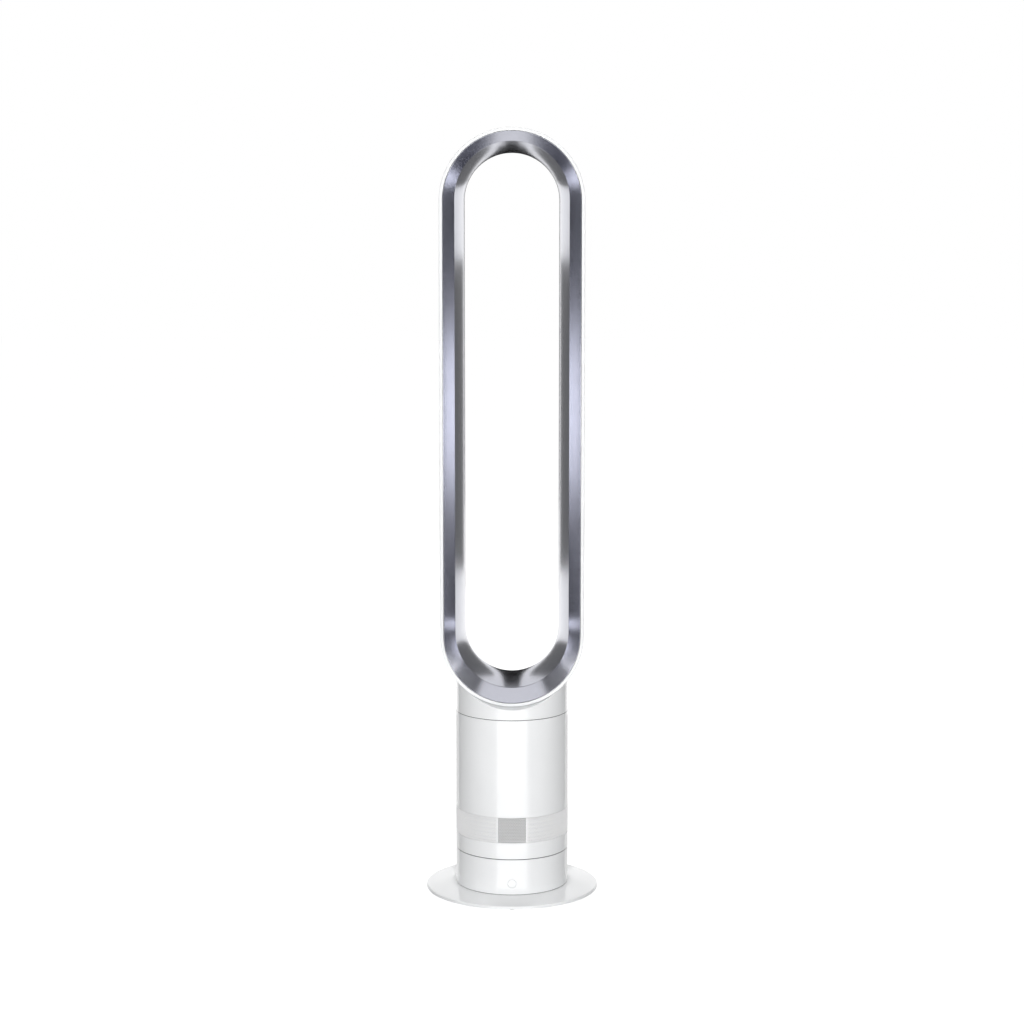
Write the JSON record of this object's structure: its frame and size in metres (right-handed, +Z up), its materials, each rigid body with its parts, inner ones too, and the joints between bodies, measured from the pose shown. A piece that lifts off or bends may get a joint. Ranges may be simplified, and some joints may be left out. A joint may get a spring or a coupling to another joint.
{
  "type": "bladeless fan",
  "caption": "Tower fan with no outside blades: a swinging body draws air in low down and blows it from a slit round a tall stadium-shaped nozzle loop.",
  "frame": {"origin": "centre of the foot plate at the surface that the fan stands on", "axes": "+Z up along the tower, front and its power button towards -Y"},
  "size_m": [0.228, 0.228, 1.007],
  "materials": {
    "white_shell": "gloss white moulded plastic",
    "satin_metal": "satin metal, a faint cool tint",
    "grille_enamel": "white perforated sheet",
    "smoked_window": "smoked translucent plastic",
    "black_rubber": "soft black rubber",
    "bright_steel": "zinc-plated steel",
    "dark_moulding": "dark grey moulded plastic",
    "natural_acetal": "natural acetal",
    "grey_foam": "open-cell sound-absorbing foam",
    "green_board": "green circuit board"
  },
  "bodies": {
    "base": {"base_plate": "white_shell", "underside_cover": "dark_moulding", "ballast_ring": "bright_steel", "rubber_foot_1": "black_rubber", "rubber_foot_2": "black_rubber", "rubber_foot_3": "black_rubber", "rubber_foot_4": "black_rubber", "rubber_foot_5": "black_rubber", "rubber_foot_6": "black_rubber", "lower_housing": "white_shell", "housing_screw_1": "bright_steel", "housing_screw_2": "bright_steel", "housing_screw_3": "bright_steel", "housing_screw_4": "bright_steel", "control_board": "green_board", "button_switch": "dark_moulding", "power_inlet": "black_rubber", "bearing_deck": "dark_moulding", "glide_ring": "natural_acetal", "swing_motor": "bright_steel"},
    "power_button": {"power_button": "white_shell"},
    "drive_pinion": {"pinion_gear": "natural_acetal"},
    "swinging_body": {"turntable": "dark_moulding", "ring_gear": "natural_acetal", "retaining_ring": "bright_steel", "lower_shell": "white_shell", "intake_grille": "grille_enamel", "display_window": "smoked_window", "display_board": "green_board", "upper_shell": "white_shell", "bellmouth": "dark_moulding", "acoustic_liner": "grey_foam", "isolator_ring": "black_rubber", "impeller_housing": "dark_moulding", "motor_bucket": "dark_moulding", "motor_bearing": "bright_steel", "motor_stator": "bright_steel", "outlet_funnel": "dark_moulding", "neck": "white_shell", "duct_seal": "black_rubber", "loop_shell": "white_shell", "loop_bezel": "satin_metal", "inner_wall_top": "satin_metal", "inner_wall_bottom": "satin_metal", "inner_wall_left": "satin_metal", "inner_wall_right": "satin_metal", "slit_spacer_1": "dark_moulding", "slit_spacer_2": "dark_moulding", "slit_spacer_3": "dark_moulding", "slit_spacer_4": "dark_moulding", "slit_spacer_5": "dark_moulding", "slit_spacer_6": "dark_moulding", "slit_spacer_7": "dark_moulding", "slit_spacer_8": "dark_moulding"},
    "blower": {"impeller": "dark_moulding", "motor_rotor": "bright_steel"}
  },
  "joints": [
    {"name": "swing", "type": "hinge", "parent": "base", "child": "swinging_body", "pos_m": [0, 0, 0.056], "axis": [0, 0, 1], "range_deg": [-35, 35]},
    {"name": "pinion_turn", "type": "hinge", "parent": "base", "child": "drive_pinion", "pos_m": [0, 0.0342, 0.0503], "axis": [0, 0, 1], "range_deg": [-142, 142]},
    {"name": "button_press", "type": "slide", "parent": "base", "child": "power_button", "axis": [0, 1, 0], "range_m": [0, 0.0015], "stiffness_N_per_m": 400, "springref_m": -0.0005},
    {"name": "blower_spin", "type": "hinge", "parent": "swinging_body", "child": "blower", "pos_m": [0, 0, 0.15], "axis": [0, 0, 1], "continuous": true}
  ],
  "couplings": [
    {"joint": "pinion_turn", "follows": "swing", "ratio": 4}
  ]
}
